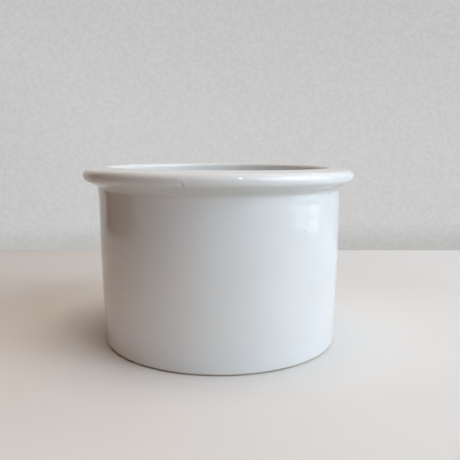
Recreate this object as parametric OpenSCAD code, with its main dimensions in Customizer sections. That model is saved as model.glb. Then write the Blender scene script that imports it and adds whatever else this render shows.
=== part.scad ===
// Straight-sided porcelain pot with a rolled rim, open at the top.
// The fired clay body carries a thin coat of glaze. The foot ring that it stands on is bare,
// and a second patch of glaze lines the recess inside that ring.
// The pot stands on z = 0, with its axis on Z.

/* [Body] */
// Outside diameter of the wall, below the rim
wall_d = 134.4; // [110:0.2:170]
// Height from the table to the top of the rim
pot_h = 97.5; // [80:0.5:150]
// Thickness of the wall
wall_t = 6; // [4:0.1:8]
// Thickness of the floor, above the recess
floor_t = 6; // [4:0.1:10]
// Radius of the corner between the inside wall and the floor
floor_fillet = 9; // [4:0.5:16]

/* [Rim] */
// How far the rolled rim stands out from the wall
rim_overhang = 7.8; // [5:0.1:10]
// Radius of the roll at the rim's outer edge
roll_r = 3.5; // [2.5:0.1:4.2]
// Depth of the roll's centre below the top of the pot
roll_drop = 4.5; // [4.2:0.1:6]
// Slope of the rim's underside, in degrees
under_slope = 27; // [15:1:32]
// Radius between the rim's underside and the wall
neck_fillet = 2.5; // [1:0.1:4]
// Radius that rounds the top of the rim into the mouth
lip_r = 2; // [1:0.1:2.6]

/* [Foot] */
// Height over which the wall curves in to the foot
tuck_h = 62; // [20:1:62]
// How far it curves in
tuck_in = 1.7; // [0.5:0.1:4]
// Radius at the bottom of the outside wall
foot_edge_r = 1.5; // [0.8:0.1:2.5]
// Width of the foot ring
foot_w = 5; // [4:0.1:9]
// Depth of the recess inside the foot ring
recess_h = 1.5; // [1:0.1:4]
// Radius at the inner edge of the foot ring
sole_r = 0.6; // [0.2:0.1:0.8]

/* [Glaze] */
// Thickness of the glaze
glaze_t = 0.3; // [0.2:0.05:0.6]
// Height of the line where the outside glaze stops above the table
glaze_line = 1.2; // [0.8:0.1:3]
// Width of the bare band round the recess
bare_band = 0.8; // [0.5:0.1:2]

/* [Hidden] */
$fn = 180;
// Widest gap allowed between an arc and its chords
chord_gap = 0.01;

wall_r = wall_d / 2;
inner_r = wall_r - wall_t;
rim_r = wall_r + rim_overhang;
foot_r = wall_r - tuck_in;
recess_r = foot_r - foot_w;
foot_mid_r = foot_r - foot_w / 2;
floor_z = recess_h + floor_t;
floor_mid_z = recess_h + floor_t / 2;

// The roll and the lip are two circles, and the rim's top is the line that touches both.
roll_c = [rim_r - roll_r, pot_h - roll_drop];
lip_c = [inner_r + lip_r, pot_h - lip_r];
lip_to_roll = roll_c - lip_c;
top_angle = atan2(lip_to_roll[1], lip_to_roll[0]) + acos((lip_r - roll_r) / norm(lip_to_roll));
top_normal = [cos(top_angle), sin(top_angle)];
under_normal = [sin(under_slope), -cos(under_slope)];

// Height, at radius r, of the line that touches the roll on the side of normal n
function roll_tangent_z(n, r) = (n * roll_c + roll_r - n[0] * r) / n[1];

// Outline of the glazed pot with square corners, from the axis outwards under the base,
// up the outside, over the rim and down the inside to the axis again
outline = [
    [0, recess_h],
    [recess_r, recess_h],
    [recess_r, 0],
    [foot_r, 0],
    [wall_r, tuck_h / 2],
    [wall_r, roll_tangent_z(under_normal, wall_r)],
    [rim_r, roll_tangent_z(under_normal, rim_r)],
    [rim_r, roll_tangent_z(top_normal, rim_r)],
    [inner_r, roll_tangent_z(top_normal, inner_r)],
    [inner_r, floor_z],
    [0, floor_z]
];
sides = len(outline);

// The curve of the tuck fills the height that the foot's own rounding leaves
tuck_angle = atan2(tuck_in, tuck_h / 2);
tuck_r = (tuck_h / 2 - foot_edge_r) / tan(tuck_angle / 2);
// The corner of the recess takes half of what the rounding of the sole leaves
recess_fillet = (recess_h - sole_r) / 2;

// Radius at each corner of the outline, negative at the hollow ones
corner_r = [
    0,
    -recess_fillet,
    sole_r,
    foot_edge_r,
    tuck_r,
    -neck_fillet,
    roll_r,
    roll_r,
    lip_r,
    -floor_fillet,
    0
];

// Glaze on the side of the outline that starts at each corner: the foot ring and the axis have none
glazed = [1, 0, 0, 1, 1, 1, 1, 1, 1, 1, 0];

function unit(v) = v / norm(v);
function along(pts, i) = unit(pts[(i + 1) % sides] - pts[i]);
function into(pts, i) = [-along(pts, i)[1], along(pts, i)[0]];
function cross2(a, b) = a[0] * b[1] - a[1] * b[0];
function before(i) = (i + sides - 1) % sides;

// Corner i once each side has moved into the clay by the glaze that covers it
function under_glaze(i) =
    let (
        p = outline[before(i)] + into(outline, before(i)) * glaze_t * glazed[before(i)],
        q = outline[i] + into(outline, i) * glaze_t * glazed[i],
        u = along(outline, before(i)),
        w = along(outline, i)
    )
    p + u * cross2(q - p, w) / cross2(u, w);

clay_outline = [for (i = [0 : sides - 1]) under_glaze(i)];
clay_corner_r = [for (i = [0 : sides - 1]) corner_r[i] - glaze_t * glazed[before(i)] * glazed[i]];

// Steps for an arc, so that no chord lies more than chord_gap from it
function arc_steps(r, turn) = ceil(turn / (2 * acos(1 - chord_gap / r)));

// Points that round corner i with an arc of radius abs(r): outwards when r is positive
function corner_arc(pts, i, r) =
    let (
        u = along(pts, before(i)),
        w = along(pts, i),
        turn = acos(u * w),
        centre = pts[i] + unit(w - u) * abs(r) / cos(turn / 2),
        start = atan2(-into(pts, before(i))[1], -into(pts, before(i))[0]) + (r > 0 ? 0 : 180),
        steps = arc_steps(abs(r), turn)
    )
    [for (k = [0 : steps])
        let (a = start + sign(r) * turn * k / steps)
        centre + abs(r) * [cos(a), sin(a)]];

// Outline with every corner rounded
function rounded(pts, radii) =
    [for (i = [0 : sides - 1]) each (radii[i] == 0 ? [pts[i]] : corner_arc(pts, i, radii[i]))];

module clay_section() {
    polygon(rounded(clay_outline, clay_corner_r));
}

module glaze_section() {
    difference() {
        polygon(rounded(outline, corner_r));
        clay_section();
    }
}

// Space under the base, inside the foot ring, that takes the second patch of glaze
module recess_section() {
    square([recess_r - bare_band, floor_mid_z]);
}

// Space below the outside glaze line and under the base, where the main coat does not reach
module bare_section() {
    square([rim_r, glaze_line]);
    square([foot_mid_r, floor_mid_z]);
}

// Fired clay: wall, floor, rolled rim and foot ring in one casting
module biscuit_body() {
    color("#e6e0d4")
        rotate_extrude()
            clay_section();
}

// Glaze over the outside, the rim and the inside
module glaze_coat() {
    color("#e4e8ea")
        rotate_extrude()
            difference() {
                glaze_section();
                bare_section();
            }
}

// Glaze in the recess under the base
module base_glaze() {
    color("#d8dee2")
        rotate_extrude()
            intersection() {
                glaze_section();
                recess_section();
            }
}

biscuit_body();
glaze_coat();
base_glaze();
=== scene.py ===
import math

import bmesh
import bpy
from mathutils import Matrix, Vector
from mathutils.bvhtree import BVHTree


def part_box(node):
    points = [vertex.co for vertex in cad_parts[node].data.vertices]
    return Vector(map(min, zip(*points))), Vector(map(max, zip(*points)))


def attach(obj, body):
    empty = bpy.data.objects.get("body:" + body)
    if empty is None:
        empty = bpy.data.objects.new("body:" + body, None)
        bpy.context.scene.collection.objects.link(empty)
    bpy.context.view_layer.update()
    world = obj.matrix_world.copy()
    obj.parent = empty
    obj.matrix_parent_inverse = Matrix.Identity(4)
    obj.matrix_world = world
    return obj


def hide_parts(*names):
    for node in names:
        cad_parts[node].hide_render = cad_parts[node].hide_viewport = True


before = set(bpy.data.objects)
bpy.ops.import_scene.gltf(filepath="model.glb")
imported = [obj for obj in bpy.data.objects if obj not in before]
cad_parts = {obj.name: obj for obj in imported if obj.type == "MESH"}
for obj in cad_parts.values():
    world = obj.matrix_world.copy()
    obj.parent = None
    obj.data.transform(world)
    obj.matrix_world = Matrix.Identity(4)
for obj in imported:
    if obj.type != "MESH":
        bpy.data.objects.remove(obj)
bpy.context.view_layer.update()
mm = 0.001


# ---------------------------------------------------------------------------------------------
# Clay body: wall, floor, rolled rim and foot ring, shaped on the wheel from one lump of
# porcelain and fired. Glaze covers it all but the foot ring, which is ground flat and left
# bare so that the pot doesn't stick to the kiln shelf.
# ---------------------------------------------------------------------------------------------

rim_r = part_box("glaze_coat")[1].x
pot_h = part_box("glaze_coat")[1].z
glaze_t = pot_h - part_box("biscuit_body")[1].z
recess_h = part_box("base_glaze")[0].z

wall_r = rim_r - 7.8 * mm
wall_t = 6 * mm
inner_r = wall_r - wall_t
floor_z = recess_h + 6 * mm
floor_fillet = 9 * mm
roll_r = 3.5 * mm
roll_drop = 4.5 * mm
under_slope = math.radians(27)
neck_fillet = 2.5 * mm
lip_r = 2 * mm
tuck_h = 62 * mm
tuck_in = 1.7 * mm
foot_r = wall_r - tuck_in
foot_w = 5 * mm
foot_edge_r = 1.5 * mm
sole_r = 0.6 * mm
recess_r = foot_r - foot_w
recess_fillet = (recess_h - sole_r) / 2
tuck_r = (tuck_h / 2 - foot_edge_r) / math.tan(math.atan2(tuck_in, tuck_h / 2) / 2)

# The rim's top is the line that touches the lip and the roll, and its underside leaves the roll
# at a set slope.
roll_c = Vector((rim_r - roll_r, pot_h - roll_drop))
lip_c = Vector((inner_r + lip_r, pot_h - lip_r))
lip_to_roll = roll_c - lip_c
top_angle = math.atan2(lip_to_roll.y, lip_to_roll.x) + math.acos((lip_r - roll_r) / lip_to_roll.length)
top_normal = Vector((math.cos(top_angle), math.sin(top_angle)))
under_normal = Vector((math.sin(under_slope), -math.cos(under_slope)))


def roll_tangent_z(normal, r):
    return (normal.dot(roll_c) + roll_r - normal.x * r) / normal.y


# Corners of the glazed section as (radius, height), from the middle of the base outwards, up
# and over the rim, and down to the middle of the floor; then the radius that rounds each one.
finished = [
    Vector((0, recess_h)),
    Vector((recess_r, recess_h)),
    Vector((recess_r, 0)),
    Vector((foot_r, 0)),
    Vector((wall_r, tuck_h / 2)),
    Vector((wall_r, roll_tangent_z(under_normal, wall_r))),
    Vector((rim_r, roll_tangent_z(under_normal, rim_r))),
    Vector((rim_r, roll_tangent_z(top_normal, rim_r))),
    Vector((inner_r, roll_tangent_z(top_normal, inner_r))),
    Vector((inner_r, floor_z)),
    Vector((0, floor_z)),
]
rounding = [
    0,
    recess_fillet,
    sole_r,
    foot_edge_r,
    tuck_r,
    neck_fillet,
    roll_r,
    roll_r,
    lip_r,
    floor_fillet,
    0,
]
# Corners that are rounded from the air side, and which sides of the section carry glaze.
hollow = [1, 5, 9]
glazed = [True, False, False, True, True, True, True, True, True, True]
# The first corner that is above the glaze line, and the height of the corner under the rim.
above_line = 4
neck_z = finished[5].y


def cross(a, b):
    return a.x * b.y - a.y * b.x


def under_glaze(corners):
    """The section with every glazed side moved into the clay by the thickness of the glaze."""
    sides = []
    for a, b, has_glaze in zip(corners, corners[1:], glazed):
        along = (b - a).normalized()
        inwards = Vector((-along.y, along.x))
        sides.append((a + inwards * glaze_t * has_glaze, along))
    moved = [Vector((0, sides[0][0].y))]
    for (p, u), (q, w) in zip(sides, sides[1:]):
        moved.append(p + u * cross(q - p, w) / cross(u, w))
    return moved + [Vector((0, sides[-1][0].y))]


def under_glaze_rounding():
    """Roundings of the clay, which follow those of the glaze at one glaze thickness."""
    radii = []
    for i, r in enumerate(rounding):
        both = 0 < i < len(glazed) and glazed[i - 1] and glazed[i]
        change = glaze_t if i in hollow else -glaze_t
        radii.append(r + change * both)
    return radii


clay = under_glaze(finished)
clay_rounding = under_glaze_rounding()


def add_node(tree, kind, **settings):
    made = tree.nodes.new(kind)
    for name, value in settings.items():
        setattr(made, name, value)
    return made


def plug(tree, socket, value):
    """Links a socket to an input, or writes a plain value there."""
    if isinstance(value, bpy.types.NodeSocket):
        tree.links.new(value, socket)
    else:
        socket.default_value = value


def calc(tree, operation, *values):
    """A Math node on sockets or numbers."""
    made = add_node(tree, "ShaderNodeMath", operation=operation)
    for socket, value in zip(made.inputs, values):
        plug(tree, socket, value)
    return made.outputs[0]


def blend_in(tree, value, low, high, to_low=0.0, to_high=1.0):
    """A smooth step: to_low where value is under low, to_high where it is over high."""
    made = add_node(tree, "ShaderNodeMapRange", interpolation_type="SMOOTHSTEP")
    for socket, number in zip(made.inputs, (value, low, high, to_low, to_high)):
        plug(tree, socket, number)
    return made.outputs[0]


def tree_inputs(tree, sockets):
    """Named inputs of a node tree, as (name, kind, default)."""
    for name, kind, default in sockets:
        made = tree.interface.new_socket(name, in_out="INPUT", socket_type="NodeSocket" + kind)
        if default is not None:
            made.default_value = default


def fine_section(tree, given, place):
    """The section with its corners made arcs and its long sides cut to short steps, and the
    number of its points."""
    curve = add_node(tree, "GeometryNodeMeshToCurve")
    plug(tree, curve.inputs["Mesh"], given["Section"])
    corner_r = add_node(tree, "GeometryNodeInputNamedAttribute", data_type="FLOAT")
    corner_r.inputs["Name"].default_value = "corner_r"
    fillet = add_node(tree, "GeometryNodeFilletCurve", mode="POLY")
    plug(tree, fillet.inputs["Curve"], curve.outputs[0])
    plug(tree, fillet.inputs["Count"], given["Steps in a Corner"])
    plug(tree, fillet.inputs["Radius"], corner_r.outputs[0])
    index = add_node(tree, "GeometryNodeInputIndex").outputs[0]
    following = add_node(tree, "GeometryNodeFieldAtIndex", data_type="FLOAT_VECTOR")
    plug(tree, following.inputs["Value"], place)
    plug(tree, following.inputs["Index"], calc(tree, "ADD", index, 1))
    apart = add_node(tree, "ShaderNodeVectorMath", operation="DISTANCE")
    plug(tree, apart.inputs[0], place)
    plug(tree, apart.inputs[1], following.outputs[0])
    steps = calc(tree, "DIVIDE", apart.outputs["Value"], given["Ring Gap"])
    fine = add_node(tree, "GeometryNodeSubdivideCurve")
    plug(tree, fine.inputs["Curve"], fillet.outputs[0])
    plug(tree, fine.inputs["Cuts"], calc(tree, "FLOOR", steps))
    count = add_node(tree, "GeometryNodeAttributeDomainSize", component="CURVE")
    plug(tree, count.inputs[0], fine.outputs[0])
    return fine.outputs[0], count.outputs["Point Count"]


def off_true(tree, given, turn, radius, height):
    """Place of a point on the pot as it was thrown: oval and slowly waved, on a lean, with a rim
    that sags and is set over on the wall."""
    oval_from, sag_from = 0.8, 2.1
    wave_rise, wave_scale = 1.3, 2.2
    neck_blend = 3 * mm
    sag_power = 6
    share = calc(tree, "DIVIDE", height, given["Height"])
    across = calc(tree, "COSINE", turn)
    along = calc(tree, "SINE", turn)
    twice_round = calc(tree, "MULTIPLY", turn, 2)

    oval = calc(tree, "COSINE", calc(tree, "ADD", twice_round, oval_from))
    half_oval = calc(tree, "MULTIPLY", given["Out of Round"], 0.5)
    narrowing = calc(tree, "MULTIPLY", calc(tree, "SUBTRACT", 1, oval), half_oval)
    round_point = add_node(tree, "ShaderNodeCombineXYZ")
    plug(tree, round_point.inputs["X"], across)
    plug(tree, round_point.inputs["Y"], along)
    plug(tree, round_point.inputs["Z"], calc(tree, "MULTIPLY", share, wave_rise))
    wave = add_node(tree, "ShaderNodeTexNoise", noise_dimensions="4D")
    plug(tree, wave.inputs["Vector"], round_point.outputs[0])
    plug(tree, wave.inputs["W"], given["Seed"])
    plug(tree, wave.inputs["Scale"], wave_scale)
    plug(tree, wave.inputs["Detail"], 1.0)
    wave_depth = calc(tree, "MULTIPLY", wave.outputs["Fac"], given["Wave"])
    dip = calc(tree, "MULTIPLY", wave_depth, calc(tree, "DIVIDE", radius, rim_r))
    true_r = calc(tree, "MULTIPLY", radius, calc(tree, "SUBTRACT", 1, narrowing))
    made_r = calc(tree, "SUBTRACT", true_r, dip)

    neck_low = calc(tree, "SUBTRACT", given["Neck Height"], neck_blend)
    below_neck = blend_in(tree, height, neck_low, given["Neck Height"], 1.0, 0.0)
    set_over = calc(tree, "MULTIPLY", given["Rim Set Over"], below_neck)
    lean = calc(tree, "MULTIPLY", given["Lean"], calc(tree, "SUBTRACT", 1, share))
    shift = calc(tree, "ADD", set_over, lean)

    sway = calc(tree, "SINE", calc(tree, "ADD", twice_round, sag_from))
    half_sag = calc(tree, "MULTIPLY", given["Rim Sag"], 0.5)
    sag = calc(tree, "MULTIPLY", calc(tree, "ADD", sway, 1), half_sag)
    near_rim = calc(tree, "POWER", calc(tree, "MAXIMUM", share, 0), sag_power)

    spot = add_node(tree, "ShaderNodeCombineXYZ")
    plug(tree, spot.inputs["X"], calc(tree, "ADD", calc(tree, "MULTIPLY", made_r, across), shift))
    plug(tree, spot.inputs["Y"], calc(tree, "MULTIPLY", made_r, along))
    plug(tree, spot.inputs["Z"], calc(tree, "SUBTRACT", height, calc(tree, "MULTIPLY", sag, near_rim)))
    return spot.outputs[0]


def wheel_tree():
    """Turns a section, drawn as corners with a rounding each, into a closed pot wall. The pot is
    a little off true, as a hand-turned one is, and always inwards from its full size."""
    tree = bpy.data.node_groups.new("pottery_wheel", "GeometryNodeTree")
    tree.interface.new_socket("Section", in_out="INPUT", socket_type="NodeSocketGeometry")
    tree_inputs(
        tree,
        [
            ("Steps Round", "Int", 320),
            ("Steps in a Corner", "Int", 10),
            ("Ring Gap", "Float", 2.5 * mm),
            ("Height", "Float", pot_h),
            ("Out of Round", "Float", 0.005),
            ("Rim Sag", "Float", 0.25 * mm),
            ("Lean", "Float", 0.6 * mm),
            ("Rim Set Over", "Float", 0.45 * mm),
            ("Neck Height", "Float", pot_h - 14 * mm),
            ("Wave", "Float", 0.12 * mm),
            ("Seed", "Float", 4.0),
            ("Surface", "Material", None),
        ],
    )
    tree.interface.new_socket("Pot", in_out="OUTPUT", socket_type="NodeSocketGeometry")
    given = add_node(tree, "NodeGroupInput").outputs
    place = add_node(tree, "GeometryNodeInputPosition").outputs[0]
    section, points = fine_section(tree, given, place)

    # A unit grid is bent round: one way goes about the pot and the other along the section.
    grid = add_node(tree, "GeometryNodeMeshGrid")
    plug(tree, grid.inputs["Size X"], 1.0)
    plug(tree, grid.inputs["Size Y"], 1.0)
    plug(tree, grid.inputs["Vertices X"], calc(tree, "ADD", given["Steps Round"], 1))
    plug(tree, grid.inputs["Vertices Y"], points)
    on_grid = add_node(tree, "ShaderNodeSeparateXYZ")
    plug(tree, on_grid.inputs[0], place)
    turn = calc(tree, "MULTIPLY", calc(tree, "ADD", on_grid.outputs["X"], 0.5), 2 * math.pi)
    rows = calc(tree, "SUBTRACT", points, 1)
    row = calc(tree, "MULTIPLY", calc(tree, "ADD", on_grid.outputs["Y"], 0.5), rows)
    sample = add_node(tree, "GeometryNodeSampleIndex", data_type="FLOAT_VECTOR", domain="POINT")
    plug(tree, sample.inputs["Geometry"], section)
    plug(tree, sample.inputs["Value"], place)
    plug(tree, sample.inputs["Index"], calc(tree, "ROUND", row))
    drawn = add_node(tree, "ShaderNodeSeparateXYZ")
    plug(tree, drawn.inputs[0], sample.outputs[0])
    spot = off_true(tree, given, turn, drawn.outputs["X"], drawn.outputs["Z"])
    shaped = add_node(tree, "GeometryNodeSetPosition")
    plug(tree, shaped.inputs["Geometry"], grid.outputs["Mesh"])
    plug(tree, shaped.inputs["Position"], spot)

    # The seam and the points on the axis close up.
    seam_gap = 0.002 * mm
    closed = add_node(tree, "GeometryNodeMergeByDistance")
    plug(tree, closed.inputs["Geometry"], shaped.outputs[0])
    plug(tree, closed.inputs["Distance"], seam_gap)
    smooth = add_node(tree, "GeometryNodeSetShadeSmooth")
    plug(tree, smooth.inputs["Geometry"], closed.outputs[0])
    real = add_node(tree, "GeometryNodeRealizeInstances")
    plug(tree, real.inputs["Geometry"], smooth.outputs[0])
    dressed = add_node(tree, "GeometryNodeSetMaterial")
    plug(tree, dressed.inputs["Geometry"], real.outputs[0])
    plug(tree, dressed.inputs["Material"], given["Surface"])
    plug(tree, add_node(tree, "NodeGroupOutput").inputs[0], dressed.outputs[0])
    return tree


wheel = wheel_tree()


def run_tree(piece, tree, **inputs):
    """Runs a geometry tree on a piece and keeps the result as a plain mesh with closed seams."""
    modifier = piece.modifiers.new(tree.name, "NODES")
    modifier.node_group = tree
    for socket in tree.interface.items_tree:
        if socket.in_out == "INPUT" and socket.name in inputs:
            modifier[socket.identifier] = inputs[socket.name]
    depsgraph = bpy.context.evaluated_depsgraph_get()
    mesh = bpy.data.meshes.new_from_object(piece.evaluated_get(depsgraph), depsgraph=depsgraph)
    piece.modifiers.clear()
    piece.data = mesh
    work = bmesh.new()
    work.from_mesh(mesh)
    bmesh.ops.recalc_face_normals(work, faces=work.faces)
    work.to_mesh(mesh)
    work.free()
    return piece


def turned(name, corners, radii, surface, **sizes):
    """A piece turned on the wheel from the corners of its section, which starts and ends on the
    pot's axis."""
    mesh = bpy.data.meshes.new(name)
    mesh.from_pydata(
        [(c.x, 0, c.y) for c in corners],
        [(i, i + 1) for i in range(len(corners) - 1)],
        [],
    )
    mesh.attributes.new("corner_r", "FLOAT", "POINT").data.foreach_set("value", radii)
    piece = bpy.data.objects.new(name, mesh)
    bpy.context.scene.collection.objects.link(piece)
    return run_tree(piece, wheel, Surface=surface, **sizes)


def new_material(name):
    material = bpy.data.materials.new(name)
    material.use_nodes = True
    return material, material.node_tree, material.node_tree.nodes["Principled BSDF"]


def object_place(tree):
    return add_node(tree, "ShaderNodeTexCoord").outputs["Object"]


def noise(tree, place, size, detail=2.0, roughness=0.5):
    """Noise whose blotches are about size metres across."""
    made = add_node(tree, "ShaderNodeTexNoise")
    plug(tree, made.inputs["Vector"], place)
    plug(tree, made.inputs["Scale"], 1 / size)
    plug(tree, made.inputs["Detail"], detail)
    plug(tree, made.inputs["Roughness"], roughness)
    return made.outputs["Fac"]


def mixed(tree, share, a, b):
    """Colour a turning to colour b as share goes from 0 to 1."""
    made = add_node(tree, "ShaderNodeMix", data_type="RGBA")
    plug(tree, made.inputs["Factor"], share)
    plug(tree, made.inputs[6], a)
    plug(tree, made.inputs[7], b)
    return made.outputs[2]


def bump(tree, height):
    """A normal from a height in metres."""
    made = add_node(tree, "ShaderNodeBump")
    plug(tree, made.inputs["Strength"], 1.0)
    plug(tree, made.inputs["Distance"], 1.0)
    plug(tree, made.inputs["Height"], height)
    return made.outputs["Normal"]


clay_pale = (0.74, 0.70, 0.62, 1)
clay_warm = (0.66, 0.60, 0.50, 1)
rub_grey = (0.36, 0.34, 0.31, 1)
grit_h = 0.05 * mm
clay_ior = 1.5


def bare_clay_material():
    """Unglazed porcelain: warm white, dry to the touch, with grey rub marks on the sole."""
    material, tree, shader = new_material("bare_porcelain")
    place = object_place(tree)
    cloud = blend_in(tree, noise(tree, place, 9 * mm, 4), 0.35, 0.7)
    rubbed = blend_in(tree, noise(tree, place, 2.2 * mm, 5, 0.65), 0.56, 0.72, 0.0, 0.55)
    colour = mixed(tree, cloud, clay_pale, clay_warm)
    colour = mixed(tree, rubbed, colour, rub_grey)
    plug(tree, shader.inputs["Base Color"], colour)
    plug(tree, shader.inputs["Roughness"], blend_in(tree, cloud, 0, 1, 0.72, 0.86))
    grit = calc(tree, "MULTIPLY", noise(tree, place, 0.35 * mm, 3, 0.7), grit_h)
    plug(tree, shader.inputs["Normal"], bump(tree, grit))
    shader.inputs["IOR"].default_value = clay_ior
    return material


bare_clay = bare_clay_material()
body = turned("clay_body", clay, clay_rounding, bare_clay)
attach(body, "root")
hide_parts("biscuit_body")


# ---------------------------------------------------------------------------------------------
# Glaze coat: a glassy white layer, dipped on over the outside, the rim and the inside, and
# melted on in the second firing. It is thin on sharp edges, gathers in hollows, and ends in a
# small bead just above the foot ring. Its darker grey where it gathers is partly painted shade,
# under the rim and round the floor's edge.
# ---------------------------------------------------------------------------------------------

glaze_line = 1.2 * mm
bead_r = 0.1 * mm
glaze_white = (0.79, 0.81, 0.82, 1)
# Grey of deep glaze, dark enough that it also serves as painted shade under the rim and in corners.
glaze_pooled_and_shade = (0.47, 0.49, 0.45, 1)
glaze_thin = (0.815, 0.80, 0.765, 1)
glaze_ior = 1.54
glaze_smooth, glaze_dull = 0.02, 0.05

# Small iron specks all over: the space that each might lie in, the share of those that hold
# one, the largest radius as a share of the space, and how strongly it shows.
speck_cell = 8 * mm
speck_share = 0.14
speck_largest = 0.055
speck_strength = 0.6
speck_dark = (0.30, 0.26, 0.20, 1)
# Two larger ones low on the wall: how far round each is, in degrees, and how high.
iron_specks = [(-48.6, 17 * mm), (-12.5, 3 * mm)]
speck_r = 0.5 * mm
speck_brown = (0.45, 0.41, 0.34, 1)


def section_at(corners, z):
    """Point where the lower stretch of the outside wall crosses height z."""
    low, high = corners[above_line - 1], corners[above_line]
    share = (z - low.y) / (high.y - low.y)
    return low + (high - low) * share


def melted_surface_group():
    """What every glaze on the pot shares: faintly cloudy white, iron specks, and a surface that
    is slightly wavy because it once ran. The two masks mark where it is deep, with its darker
    grey there also painting shade, and where it is worn thin."""
    tree = bpy.data.node_groups.new("melted_surface", "ShaderNodeTree")
    tree_inputs(
        tree,
        [
            ("Place", "Vector", None),
            ("Pool And Shade", "Float", 0.0),
            ("Thin", "Float", 0.0),
            ("White", "Color", glaze_white),
            ("Pooled And Shaded", "Color", glaze_pooled_and_shade),
            ("Worn Thin", "Color", glaze_thin),
            ("Run Height", "Float", 0.06 * mm),
            ("Ring Height", "Float", 0.005 * mm),
            ("Skin Height", "Float", 0.0016 * mm),
            ("Specks", "Float", 1.0),
        ],
    )
    for name, kind in (("Color", "Color"), ("Roughness", "Float"), ("Normal", "Vector")):
        tree.interface.new_socket(name, in_out="OUTPUT", socket_type="NodeSocket" + kind)
    given = add_node(tree, "NodeGroupInput").outputs
    place = given["Place"]

    cloud = blend_in(tree, noise(tree, place, 28 * mm, 3), 0.35, 0.7, 0.0, 0.07)
    colour = mixed(tree, cloud, given["White"], given["Pooled And Shaded"])
    # Deep glaze and painted shade: the dark grey laid on by the first mask.
    colour = mixed(tree, given["Pool And Shade"], colour, given["Pooled And Shaded"])
    colour = mixed(tree, given["Thin"], colour, given["Worn Thin"])
    grains = add_node(tree, "ShaderNodeTexVoronoi", feature="F1")
    plug(tree, grains.inputs["Vector"], place)
    plug(tree, grains.inputs["Scale"], 1 / speck_cell)
    picked = add_node(tree, "ShaderNodeSeparateColor")
    plug(tree, picked.inputs[0], grains.outputs["Color"])
    chosen = calc(tree, "GREATER_THAN", picked.outputs[0], 1 - speck_share)
    dot_size = calc(tree, "MULTIPLY", picked.outputs[1], speck_largest)
    dot_core = calc(tree, "MULTIPLY", dot_size, 0.35)
    dot = blend_in(tree, grains.outputs["Distance"], dot_core, dot_size, 1.0, 0.0)
    speck = calc(tree, "MULTIPLY", calc(tree, "MULTIPLY", dot, chosen), given["Specks"])
    colour = mixed(tree, calc(tree, "MULTIPLY", speck, speck_strength), colour, speck_dark)

    wiped = noise(tree, place, 18 * mm, 4, 0.6)
    run = calc(tree, "MULTIPLY", noise(tree, place, 16 * mm, 1.5, 0.4), given["Run Height"])
    skin = calc(tree, "MULTIPLY", noise(tree, place, 1.6 * mm, 1), given["Skin Height"])
    level = add_node(tree, "ShaderNodeSeparateXYZ")
    plug(tree, level.inputs[0], place)
    level_only = add_node(tree, "ShaderNodeCombineXYZ")
    plug(tree, level_only.inputs["Z"], level.outputs["Z"])
    rings = calc(tree, "MULTIPLY", noise(tree, level_only.outputs[0], 3 * mm, 2), given["Ring Height"])
    surface_height = calc(tree, "ADD", calc(tree, "ADD", run, skin), rings)
    out = add_node(tree, "NodeGroupOutput")
    plug(tree, out.inputs["Color"], colour)
    plug(tree, out.inputs["Roughness"], blend_in(tree, wiped, 0.3, 0.75, glaze_smooth, glaze_dull))
    plug(tree, out.inputs["Normal"], bump(tree, surface_height))
    return tree


melted_surface = melted_surface_group()


def glaze_material(name, pool_and_shade, thin, **inputs):
    """Glossy glaze. The two given functions make the masks of deep glaze with painted shade, and of
    thin glaze, from the tree and the place on the pot.
    """
    material, tree, shader = new_material(name)
    place = object_place(tree)
    surface = add_node(tree, "ShaderNodeGroup", node_tree=melted_surface)
    plug(tree, surface.inputs["Place"], place)
    plug(tree, surface.inputs["Pool And Shade"], pool_and_shade(tree, place))
    plug(tree, surface.inputs["Thin"], thin(tree, place))
    for socket, value in inputs.items():
        plug(tree, surface.inputs[socket], value)
    colour = surface.outputs["Color"]
    for turn, z in iron_specks:
        spot = (wall_r * math.sin(math.radians(turn)), -wall_r * math.cos(math.radians(turn)), z)
        away = add_node(tree, "ShaderNodeVectorMath", operation="DISTANCE")
        plug(tree, away.inputs[0], place)
        away.inputs[1].default_value = spot
        speck = blend_in(tree, away.outputs["Value"], speck_r * 0.5, speck_r * 2.4, 0.0, 1.0)
        colour = mixed(tree, speck, speck_brown, colour)
    plug(tree, shader.inputs["Base Color"], colour)
    plug(tree, shader.inputs["Roughness"], surface.outputs["Roughness"])
    plug(tree, shader.inputs["Normal"], surface.outputs["Normal"])
    shader.inputs["IOR"].default_value = glaze_ior
    return material


def radius_and_height(tree, place):
    apart = add_node(tree, "ShaderNodeSeparateXYZ")
    plug(tree, apart.inputs[0], place)
    x, y, z = apart.outputs
    squares = calc(tree, "ADD", calc(tree, "MULTIPLY", x, x), calc(tree, "MULTIPLY", y, y))
    return calc(tree, "SQRT", squares), z


def band(tree, value, middle, half_width):
    """1 at the middle of a band, fading to 0 at half_width either side."""
    off = calc(tree, "ABSOLUTE", calc(tree, "SUBTRACT", value, middle))
    return blend_in(tree, off, 0.0, half_width, 1.0, 0.0)


def coat_pool_and_shade(tree, place):
    """Deep glaze darkened into painted shade: on the slope and in the hollow under the rim, and round
    the floor's edge.
    """
    pool_shade_share = 0.5
    neck_from, neck_to = neck_z - 3 * mm, neck_z + 1 * mm
    roll_from, roll_to = roll_c.y - roll_r * 0.9, roll_c.y - roll_r * 0.3
    radius, height = radius_and_height(tree, place)
    # Painted shade on the underside of the rim and the slope below it.
    under_rim_shade = calc(
        tree,
        "MULTIPLY",
        blend_in(tree, height, neck_from, neck_to),
        blend_in(tree, height, roll_from, roll_to, 1.0, 0.0),
    )
    under_rim_shade = calc(tree, "MULTIPLY", under_rim_shade, blend_in(tree, radius, inner_r + 2 * mm, wall_r - 1 * mm))
    # Deep glaze with painted shade round the floor's edge.
    corner = calc(
        tree,
        "MULTIPLY",
        band(tree, height, floor_z, floor_fillet),
        band(tree, radius, inner_r - floor_fillet / 2, floor_fillet),
    )
    return calc(tree, "MULTIPLY", calc(tree, "MAXIMUM", under_rim_shade, corner), pool_shade_share)


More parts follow.
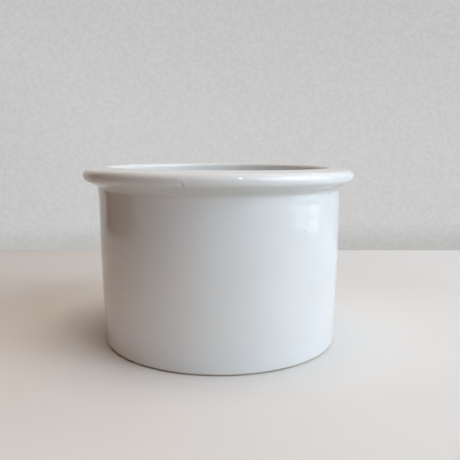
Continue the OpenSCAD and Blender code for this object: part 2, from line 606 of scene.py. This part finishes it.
def coat_thin(tree, place):
    """Thin glaze: on the lip and at the glaze line."""
    radius, height = radius_and_height(tree, place)
    lip = calc(
        tree,
        "MULTIPLY",
        band(tree, radius, inner_r + lip_r * 0.5, 1.6 * mm),
        band(tree, height, pot_h - lip_r * 0.4, 2 * mm),
    )
    foot = calc(
        tree,
        "MULTIPLY",
        band(tree, height, glaze_line, 1.8 * mm),
        blend_in(tree, radius, recess_r, foot_r - 1 * mm),
    )
    uneven = blend_in(tree, noise(tree, place, 6 * mm, 3), 0.3, 0.7, 0.4, 1.0)
    return calc(tree, "MULTIPLY", calc(tree, "MAXIMUM", lip, foot), uneven)


# The coat's section goes from the floor over the rim and down the outside to the glaze line,
# and back the same way along the clay.
bead = [section_at(finished, glaze_line), section_at(clay, glaze_line)]
coat_corners = finished[:above_line - 1:-1] + bead + clay[above_line:]
coat_rounding = rounding[:above_line - 1:-1] + [bead_r, bead_r] + clay_rounding[above_line:]
coat_ring_gap = 4 * mm
white_glaze = glaze_material("white_glaze", coat_pool_and_shade, coat_thin)
coat = turned(
    "glaze_coat_skin",
    coat_corners,
    coat_rounding,
    white_glaze,
    **{"Ring Gap": coat_ring_gap},
)

# A burst bubble left a pit low on the roll. Turns are counted from the front, which is -Y.
front = math.radians(-90)
pit_turn = front + math.radians(-12.7)
pit_slope = math.radians(-32)
pit_r = 1.5 * mm
pit_depth = 0.4 * mm


def on_roll(turn, slope):
    """Point on the roll's surface: turn goes round the pot and slope tips up from level."""
    r = roll_c.x + roll_r * math.cos(slope)
    return Vector((r * math.cos(turn), r * math.sin(turn), roll_c.y + roll_r * math.sin(slope)))


def press_pit(piece, place, radius, depth):
    """Presses a round pit, with a faint raised edge, into the outer face of a glaze."""
    cut_reach, press_reach = 4, 3
    pit_share = 0.6
    edge_at, edge_width, edge_rise = 1.3, 0.35, 0.25
    outer_face = 0.2
    work = bmesh.new()
    work.from_mesh(piece.data)
    work.normal_update()
    outward = Vector((place.x, place.y, 0)).normalized()
    near = {
        v
        for v in work.verts
        if (v.co - place).length < cut_reach * radius and v.normal.dot(outward) > outer_face
    }
    edges = [e for e in work.edges if e.verts[0] in near and e.verts[1] in near]
    bmesh.ops.subdivide_edges(work, edges=edges, cuts=5, use_grid_fill=True)
    work.normal_update()
    moves = []
    for v in work.verts:
        away = (v.co - place).length / radius
        if away < press_reach and v.normal.dot(outward) > outer_face:
            hollow_here = math.exp(-((away / pit_share) ** 2))
            edge_here = edge_rise * math.exp(-(((away - edge_at) / edge_width) ** 2))
            moves.append((v, v.normal * depth * (edge_here - hollow_here)))
    for v, move in moves:
        v.co += move
    for face in work.faces:
        face.smooth = True
    work.to_mesh(piece.data)
    work.free()


surface_of_coat = BVHTree.FromObject(coat, bpy.context.evaluated_depsgraph_get())
pit_place = surface_of_coat.find_nearest(on_roll(pit_turn, pit_slope))[0]
press_pit(coat, pit_place, pit_r, pit_depth)
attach(coat, "root")
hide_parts("glaze_coat")


# ---------------------------------------------------------------------------------------------
# Pimples in the glaze: low beads where kiln dust or a grain of clay lies under the melt. A few
# sit on the rim, where they catch the light, and the rest are scattered thinly.
# ---------------------------------------------------------------------------------------------

pimple_low, pimple_high = 0.25 * mm, 0.5 * mm
pimples_per_m2 = 900
# On the rim: how far round from the front, and how far up the roll from level, in degrees.
rim_pimples = [(-24.5, -4), (-15.5, -6), (172, 38), (150, 40), (120, 30), (75, 8), (-115, 12)]


def scatter_tree():
    """Low beads on a surface: at the marked spots, and thinly at random in between."""
    tree = bpy.data.node_groups.new("pimple_scatter", "GeometryNodeTree")
    tree.interface.new_socket("Spots", in_out="INPUT", socket_type="NodeSocketGeometry")
    tree_inputs(
        tree,
        [
            ("Ground", "Object", None),
            ("Per Square Metre", "Float", pimples_per_m2),
            ("Lowest", "Float", 0.01),
            ("Highest", "Float", pot_h - 9 * mm),
            ("Smallest", "Float", pimple_low),
            ("Largest", "Float", pimple_high),
            ("Flatness", "Float", 0.45),
            ("Seed", "Int", 11),
            ("Surface", "Material", None),
        ],
    )
    tree.interface.new_socket("Beads", in_out="OUTPUT", socket_type="NodeSocketGeometry")
    given = add_node(tree, "NodeGroupInput").outputs
    ground = add_node(tree, "GeometryNodeObjectInfo")
    plug(tree, ground.inputs["Object"], given["Ground"])
    surface = ground.outputs["Geometry"]
    apart = add_node(tree, "ShaderNodeSeparateXYZ")
    plug(tree, apart.inputs[0], add_node(tree, "GeometryNodeInputPosition").outputs[0])
    above = calc(tree, "GREATER_THAN", apart.outputs["Z"], given["Lowest"])
    below = calc(tree, "LESS_THAN", apart.outputs["Z"], given["Highest"])
    spread = add_node(tree, "GeometryNodeDistributePointsOnFaces")
    plug(tree, spread.inputs["Mesh"], surface)
    plug(tree, spread.inputs["Selection"], calc(tree, "MULTIPLY", above, below))
    plug(tree, spread.inputs["Density"], given["Per Square Metre"])
    plug(tree, spread.inputs["Seed"], given["Seed"])
    marked = add_node(tree, "GeometryNodeMeshToPoints")
    plug(tree, marked.inputs["Mesh"], given["Spots"])
    joined = add_node(tree, "GeometryNodeJoinGeometry")
    plug(tree, joined.inputs[0], marked.outputs[0])
    plug(tree, joined.inputs[0], spread.outputs["Points"])
    leaning = add_node(tree, "GeometryNodeSampleNearestSurface", data_type="FLOAT_VECTOR")
    plug(tree, leaning.inputs["Mesh"], surface)
    plug(tree, leaning.inputs["Value"], add_node(tree, "GeometryNodeInputNormal").outputs[0])
    turned_to = add_node(tree, "FunctionNodeAlignRotationToVector", axis="Z")
    plug(tree, turned_to.inputs["Vector"], leaning.outputs["Value"])
    size = add_node(tree, "FunctionNodeRandomValue", data_type="FLOAT")
    plug(tree, size.inputs[2], given["Smallest"])
    plug(tree, size.inputs[3], given["Largest"])
    plug(tree, size.inputs["Seed"], given["Seed"])
    shape = add_node(tree, "ShaderNodeCombineXYZ")
    for axis, share in (("X", 1), ("Y", 1), ("Z", given["Flatness"])):
        plug(tree, shape.inputs[axis], calc(tree, "MULTIPLY", size.outputs[1], share))
    bead = add_node(tree, "GeometryNodeMeshIcoSphere")
    plug(tree, bead.inputs["Radius"], 1.0)
    plug(tree, bead.inputs["Subdivisions"], 3)
    placed = add_node(tree, "GeometryNodeInstanceOnPoints")
    plug(tree, placed.inputs["Points"], joined.outputs[0])
    plug(tree, placed.inputs["Instance"], bead.outputs["Mesh"])
    plug(tree, placed.inputs["Rotation"], turned_to.outputs[0])
    plug(tree, placed.inputs["Scale"], shape.outputs[0])
    smooth = add_node(tree, "GeometryNodeSetShadeSmooth")
    real = add_node(tree, "GeometryNodeRealizeInstances")
    plug(tree, real.inputs["Geometry"], placed.outputs[0])
    plug(tree, smooth.inputs["Geometry"], real.outputs[0])
    dressed = add_node(tree, "GeometryNodeSetMaterial")
    plug(tree, dressed.inputs["Geometry"], smooth.outputs[0])
    plug(tree, dressed.inputs["Material"], given["Surface"])
    plug(tree, add_node(tree, "NodeGroupOutput").inputs[0], dressed.outputs[0])
    return tree


spots = bpy.data.meshes.new("glaze_pimples")
spots.from_pydata(
    [
        surface_of_coat.find_nearest(on_roll(front + math.radians(turn), math.radians(slope)))[0]
        for turn, slope in rim_pimples
    ],
    [],
    [],
)
pimples = bpy.data.objects.new("glaze_pimples", spots)
bpy.context.scene.collection.objects.link(pimples)
run_tree(pimples, scatter_tree(), Ground=coat, Surface=white_glaze)
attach(pimples, "root")


# ---------------------------------------------------------------------------------------------
# Base glaze: a patch of the same glaze, brushed into the recess under the base. Its edge draws
# back from the foot ring in a soft bead, and a darker ring just inside the edge is partly
# painted shade.

bare_band = 0.8 * mm
base_edge_r = 0.13 * mm
patch_r = recess_r - bare_band
patch_low, patch_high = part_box("base_glaze")[0].z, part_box("base_glaze")[1].z


def patch_pool_and_shade(tree, place):
    """Deep glaze in a ring just inside the edge, where it flowed; its darker grey also paints shade in
    the recess.
    """
    radius, _ = radius_and_height(tree, place)
    return calc(tree, "MULTIPLY", band(tree, radius, patch_r - 3 * mm, 5 * mm), 0.7)


def patch_thin(tree, place):
    radius, _ = radius_and_height(tree, place)
    return band(tree, radius, patch_r, 1.2 * mm)


recess_glaze = glaze_material(
    "recess_glaze",
    patch_pool_and_shade,
    patch_thin,
    **{"Run Height": 0.05 * mm, "Specks": 1.6},
)
patch_corners = [(0, patch_low), (patch_r, patch_low), (patch_r, patch_high), (0, patch_high)]
patch = turned(
    "base_glaze_patch",
    [Vector(corner) for corner in patch_corners],
    [0, base_edge_r, base_edge_r, 0],
    recess_glaze,
)
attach(patch, "root")
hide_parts("base_glaze")


# ---------------------------------------------------------------------------------------------
# Studio: a pale table top against a pale plaster wall, soft windows at the right, a skylight
# and two small lamps overhead. Brown cards and flags on the left, which the camera doesn't
# see, darken the shaded side of the pot.
# ---------------------------------------------------------------------------------------------

table_back = 0.265
table_front = -1.6
table_half_w = 1.8
wall_top = 1.6
wall_pale = (0.63, 0.625, 0.625, 1)
wall_dim = (0.50, 0.495, 0.49, 1)
bounce_left = (0.50, 0.41, 0.33, 1)
bounce_right = (0.74, 0.75, 0.76, 1)
plaster_grain = 4 * mm
plaster_depth = 0.36


def panel(name, corners, material):
    mesh = bpy.data.meshes.new(name)
    mesh.from_pydata(corners, [], [tuple(range(len(corners)))])
    made = bpy.data.objects.new(name, mesh)
    made.data.materials.append(material)
    bpy.context.scene.collection.objects.link(made)
    return made


def upright(name, start, end, low, high, material):
    """Upright panel over the line on the table from start to end."""
    (x0, y0), (x1, y1) = start, end
    corners = [(x0, y0, low), (x1, y1, low), (x1, y1, high), (x0, y0, high)]
    return panel(name, corners, material)


def plain_material(name, colour, roughness):
    """Matt finish in one colour, with faint large clouds."""
    cloud_size = 0.15
    cloud_shade = 0.97
    material, tree, shader = new_material(name)
    place = object_place(tree)
    cloud = blend_in(tree, noise(tree, place, cloud_size, 2), 0.3, 0.7)
    darker = tuple(c * cloud_shade for c in colour[:3]) + (1,)
    plug(tree, shader.inputs["Base Color"], mixed(tree, cloud, colour, darker))
    shader.inputs["Roughness"].default_value = roughness
    shader.inputs["Specular IOR Level"].default_value = 0.2
    return material


def seen_by_eye(tree):
    """1 for what the camera sees, straight or by reflection, and 0 for light that is bounced."""
    path = add_node(tree, "ShaderNodeLightPath").outputs
    indirect = calc(tree, "MAXIMUM", path["Is Glossy Ray"], path["Is Transmission Ray"])
    return calc(tree, "MAXIMUM", path["Is Camera Ray"], indirect)


def blend_shaders(tree, share, a, b):
    made = add_node(tree, "ShaderNodeMixShader")
    for socket, value in zip(made.inputs, (share, a, b)):
        plug(tree, socket, value)
    return made.outputs[0]


def wall_material():
    """Plaster that the eye sees as a painted glow: evenly lit, with painted shade along the table,
    to the left and high up, and painted light and shade on its grain. The light that it gives
    back is warmer on the left, and it can be seen through from behind."""
    material, tree, shader = new_material("wall_paint")
    shader.inputs["Roughness"].default_value = 0.9
    shader.inputs["Specular IOR Level"].default_value = 0.2
    place = object_place(tree)
    on_wall = add_node(tree, "ShaderNodeSeparateXYZ")
    plug(tree, on_wall.inputs[0], place)
    x, z = on_wall.outputs["X"], on_wall.outputs["Z"]
    # Painted shade in the glow: darker along the table, to the left and high up.
    shade_along_table = blend_in(tree, z, 0.0, 0.035, 0.8, 0.0)
    shade_to_left = blend_in(tree, x, -0.35, -0.05, 0.45, 0.0)
    shade_high_up = blend_in(tree, z, 0.08, 0.32, 0.0, 0.45)
    painted_dimming = calc(tree, "MAXIMUM", shade_along_table, calc(tree, "MAXIMUM", shade_to_left, shade_high_up))
    # Painted light and shade of the plaster's lumps, laid into the glow.
    plaster = blend_in(tree, noise(tree, place, plaster_grain, 3, 0.6), 0.3, 0.7, 0.0, plaster_depth)
    bounce = mixed(tree, blend_in(tree, x, -0.2, 0.2), bounce_left, bounce_right)
    plug(tree, shader.inputs["Base Color"], bounce)
    glow = add_node(tree, "ShaderNodeEmission")
    shown = mixed(tree, calc(tree, "ADD", painted_dimming, plaster), wall_pale, wall_dim)
    plug(tree, glow.inputs["Color"], shown)
    front_face = blend_shaders(tree, seen_by_eye(tree), shader.outputs[0], glow.outputs[0])
    see_through = add_node(tree, "ShaderNodeBsdfTransparent").outputs[0]
    behind = add_node(tree, "ShaderNodeNewGeometry").outputs["Backfacing"]
    both_faces = blend_shaders(tree, behind, front_face, see_through)
    plug(tree, tree.nodes["Material Output"].inputs[0], both_faces)
    return material


def glow_material(name, colour, strength):
    material, tree, _ = new_material(name)
    light = add_node(tree, "ShaderNodeEmission")
    light.inputs["Color"].default_value = colour
    light.inputs["Strength"].default_value = strength
    plug(tree, tree.nodes["Material Output"].inputs[0], light.outputs[0])
    return material


table_corners = [
    (-table_half_w, table_front, 0),
    (table_half_w, table_front, 0),
    (table_half_w, table_back, 0),
    (-table_half_w, table_back, 0),
]
panel("table", table_corners, plain_material("table_top", (0.73, 0.725, 0.72, 1), 0.6))
wall_start, wall_end = (-table_half_w, table_back), (table_half_w, table_back)
upright("wall", wall_start, wall_end, 0, wall_top, wall_material())


def reflected_only(thing):
    """Leaves a panel to be seen in the glaze, but not by the camera or the light."""
    thing.visible_camera = False
    thing.visible_diffuse = False
    thing.visible_shadow = False


# Cards, which the glaze reflects: high ones round the left, and a low one under the last.
card_felt = plain_material("card_felt", (0.09, 0.035, 0.010, 1), 0.9)
card_foot = [(-0.20, -0.38), (-0.42, -0.20), (-0.42, -0.10), (-0.42, table_back - 1 * mm)]
low_card_h = 0.05
high_card_low, high_card_high = 0.10, 0.45
for number, (start, end) in enumerate(zip(card_foot, card_foot[1:])):
    card = upright(f"high_card_{number}", start, end, high_card_low, high_card_high, card_felt)
    reflected_only(card)
    card.visible_diffuse = True
reflected_only(upright("low_card", card_foot[2], card_foot[3], 0, low_card_h, card_felt))

# Flags, close by on the left, which keep the light of the table top off the shaded side.
flag_felt = plain_material("flag_felt", (0.22, 0.085, 0.01, 1), 0.9)
flag_foot = [(-0.06, -0.21), (-0.14, -0.15), (-0.175, -0.03), (-0.16, 0.06)]
flag_low, flag_high = 0.015, 0.10
for number, (start, end) in enumerate(zip(flag_foot, flag_foot[1:])):
    flag = upright(f"flag_{number}", start, end, flag_low, flag_high, flag_felt)
    flag.visible_camera = False
    flag.visible_glossy = False
    flag.visible_shadow = False

# Four panes of a low window, seen only in the glaze at the right.
pane_glow = glow_material("pane_glow", (0.85, 0.95, 1.0, 1), 2.5)
pane_x = 0.42
pane_columns = [(-0.20, -0.09), (-0.07, 0.04)]
pane_rows = [(0.011, 0.029), (0.034, 0.062)]
panes = [(column, row) for column in pane_columns for row in pane_rows]
for number, ((y0, y1), (z0, z1)) in enumerate(panes):
    reflected_only(upright(f"low_pane_{number}", (pane_x, y0), (pane_x, y1), z0, z1, pane_glow))


def window(name, place, aim, width, height, watts, colour, columns=1, rows=1, bar=0.0):
    """Soft light through a window of columns by rows panes, with bars between them."""
    facing = (Vector(aim) - Vector(place)).to_track_quat("-Z", "Y")
    made = []
    for column in range(columns):
        for row in range(rows):
            data = bpy.data.lights.new(name, "AREA")
            data.shape = "RECTANGLE"
            data.size = (width - bar * (columns - 1)) / columns
            data.size_y = (height - bar * (rows - 1)) / rows
            data.energy = watts / (columns * rows)
            data.color = colour
            across = (column - (columns - 1) / 2) * (data.size + bar)
            up = (row - (rows - 1) / 2) * (data.size_y + bar)
            pane = bpy.data.objects.new(f"{name}_{column}_{row}", data)
            pane.location = Vector(place) + facing @ Vector((across, up, 0))
            pane.rotation_mode = "QUATERNION"
            pane.rotation_quaternion = facing
            pane.visible_camera = False
            bpy.context.scene.collection.objects.link(pane)
            made.append(pane)
    return made


pot_middle = (0, 0, 0.05)
window(
    "side_window",
    place=(1.5, -0.20, 0.84),
    aim=pot_middle,
    width=1.2,
    height=1.1,
    watts=10.4,
    colour=(0.72, 0.88, 1.0),
    columns=2,
    rows=2,
    bar=0.07,
)
window(
    "front_window",
    place=(1.24, -0.90, 0.90),
    aim=pot_middle,
    width=1.2,
    height=1.3,
    watts=17.0,
    colour=(0.79, 0.89, 1.0),
)
skylight = window(
    "skylight",
    place=(0.15, -0.10, 2.2),
    aim=(0, 0, 0),
    width=1.4,
    height=1.4,
    watts=26,
    colour=(1.0, 0.83, 0.69),
)
for pane in skylight:
    pane.visible_glossy = False

# Two small ceiling lamps, each at an angle round the pot, which put the glints on the rim.
lamp_turns = (-48.8, 18.0)
lamp_tilt = math.radians(40)
lamp_away = 1.5
lamp_side = 0.08
for number, turn in enumerate(lamp_turns):
    heading = math.radians(turn)
    level_away = lamp_away * math.cos(lamp_tilt)
    lamp = window(
        f"ceiling_lamp_{number}",
        place=(
            level_away * math.sin(heading),
            -level_away * math.cos(heading),
            pot_h + lamp_away * math.sin(lamp_tilt),
        ),
        aim=(0, 0, pot_h),
        width=lamp_side,
        height=lamp_side,
        watts=2.5,
        colour=(1.0, 0.93, 0.82),
    )
    for pane in lamp:
        pane.visible_diffuse = False


def room_light():
    """Pale room to the eye, and dim warm light from it, a little stronger from the right."""
    dim_left = (0.03, 0.022, 0.015, 1)
    dim_right = (0.10, 0.09, 0.08, 1)
    room_pale = (0.62, 0.62, 0.615, 1)
    world = bpy.data.worlds.new("room")
    world.use_nodes = True
    tree = world.node_tree
    tree.nodes.clear()
    direction = add_node(tree, "ShaderNodeSeparateXYZ")
    plug(tree, direction.inputs[0], add_node(tree, "ShaderNodeTexCoord").outputs["Generated"])
    from_left = blend_in(tree, direction.outputs["X"], -0.6, 0.9)
    dim_light = mixed(tree, from_left, dim_left, dim_right)
    background = add_node(tree, "ShaderNodeBackground")
    shown = mixed(tree, seen_by_eye(tree), dim_light, room_pale)
    plug(tree, background.inputs["Color"], shown)
    plug(tree, background.inputs["Strength"], 1.0)
    plug(tree, add_node(tree, "ShaderNodeOutputWorld").inputs[0], background.outputs[0])
    return world


bpy.context.scene.world = room_light()
bpy.context.scene.view_settings.view_transform = "Standard"

camera_place = (0, -0.3125, 0.107)
pitch = math.radians(8.40)
yaw = math.radians(-1.21)
roll = math.radians(0.28)
camera_data = bpy.data.cameras.new("camera")
camera_data.sensor_width = 36
camera_data.lens = 42.9
camera_data.clip_start = 0.01
camera = bpy.data.objects.new("camera", camera_data)
camera.matrix_world = (
    Matrix.Translation(camera_place)
    @ Matrix.Rotation(yaw, 4, "Z")
    @ Matrix.Rotation(math.pi / 2 - pitch, 4, "X")
    @ Matrix.Rotation(roll, 4, "Z")
)
bpy.context.scene.collection.objects.link(camera)
bpy.context.scene.camera = camera
